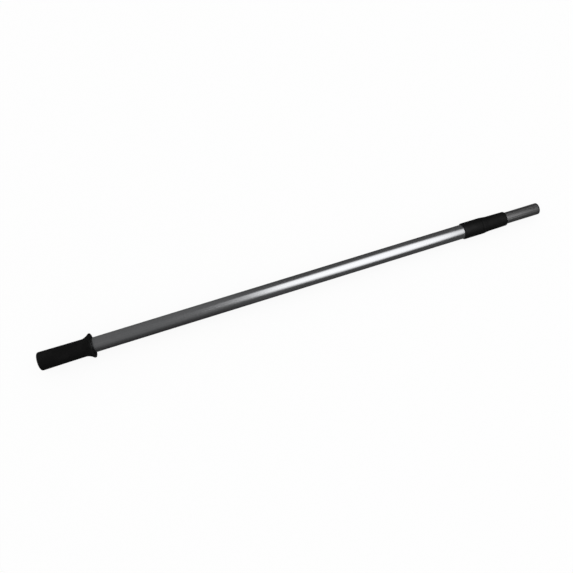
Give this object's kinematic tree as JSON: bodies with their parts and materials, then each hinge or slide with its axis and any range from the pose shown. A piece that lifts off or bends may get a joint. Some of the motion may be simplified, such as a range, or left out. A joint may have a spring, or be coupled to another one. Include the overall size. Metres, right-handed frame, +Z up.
{
  "type": "roller extension pole",
  "caption": "Two-section telescopic pole with a hand grip, a twist lock and a plain tube end that takes a paint roller frame.",
  "frame": {"origin": "on the floor under the middle of the closed pole, directly below its axis; the pole lies along X at the height of its hand guard's radius", "axes": "+X along the pole from the hand grip to the tip, which is also the way it extends, +Z up"},
  "size_m": [1.03, 0.0476, 0.0476],
  "materials": {
    "grip_rubber": "matte black rubber",
    "buffer_rubber": "dark grey rubber",
    "collar_plastic": "satin black moulded plastic",
    "tip_plastic": "dark grey moulded plastic",
    "sliding_plastic": "natural acetal",
    "bright_tube": "drawn and brightened aluminium",
    "dull_tube": "mill-finish aluminium, dull grey",
    "pin_steel": "plain steel"
  },
  "bodies": {
    "outer_section": {"hand_grip": "grip_rubber", "outer_tube": "bright_tube", "end_plug": "sliding_plastic", "stop_bumper": "buffer_rubber", "mouth_bush": "sliding_plastic", "lock_sleeve": "collar_plastic", "sleeve_rivet_left": "pin_steel", "sleeve_rivet_right": "pin_steel", "nut_retainer": "pin_steel", "collet": "sliding_plastic"},
    "nut_wiper": {"wiper_ring": "buffer_rubber"},
    "lock_nut": {"lock_nut": "collar_plastic"},
    "glides": {"glide_ring_lower": "sliding_plastic", "glide_ring_upper": "sliding_plastic", "drag_ring": "buffer_rubber"},
    "inner_section": {"inner_tube": "dull_tube", "glide_plug": "sliding_plastic", "stop_collar": "sliding_plastic", "stop_pin": "pin_steel", "tip_plug": "tip_plastic"}
  },
  "joints": [
    {"name": "nut_travel", "type": "slide", "parent": "outer_section", "child": "nut_wiper", "axis": [1, 0, 0], "range_m": [0, 0.003]},
    {"name": "nut_twist", "type": "hinge", "parent": "nut_wiper", "child": "lock_nut", "pos_m": [0.414, 0, 0.0238], "axis": [1, 0, 0], "range_deg": [0, 216]},
    {"name": "pole_slide", "type": "slide", "parent": "outer_section", "child": "glides", "axis": [1, 0, 0], "range_m": [0, 0.7575]},
    {"name": "inner_spin", "type": "hinge", "parent": "glides", "child": "inner_section", "pos_m": [0.0255, 0, 0.0238], "axis": [1, 0, 0], "continuous": true}
  ],
  "couplings": [
    {"joint": "nut_travel", "follows": "nut_twist", "m_per_rad": 0.00079577}
  ]
}
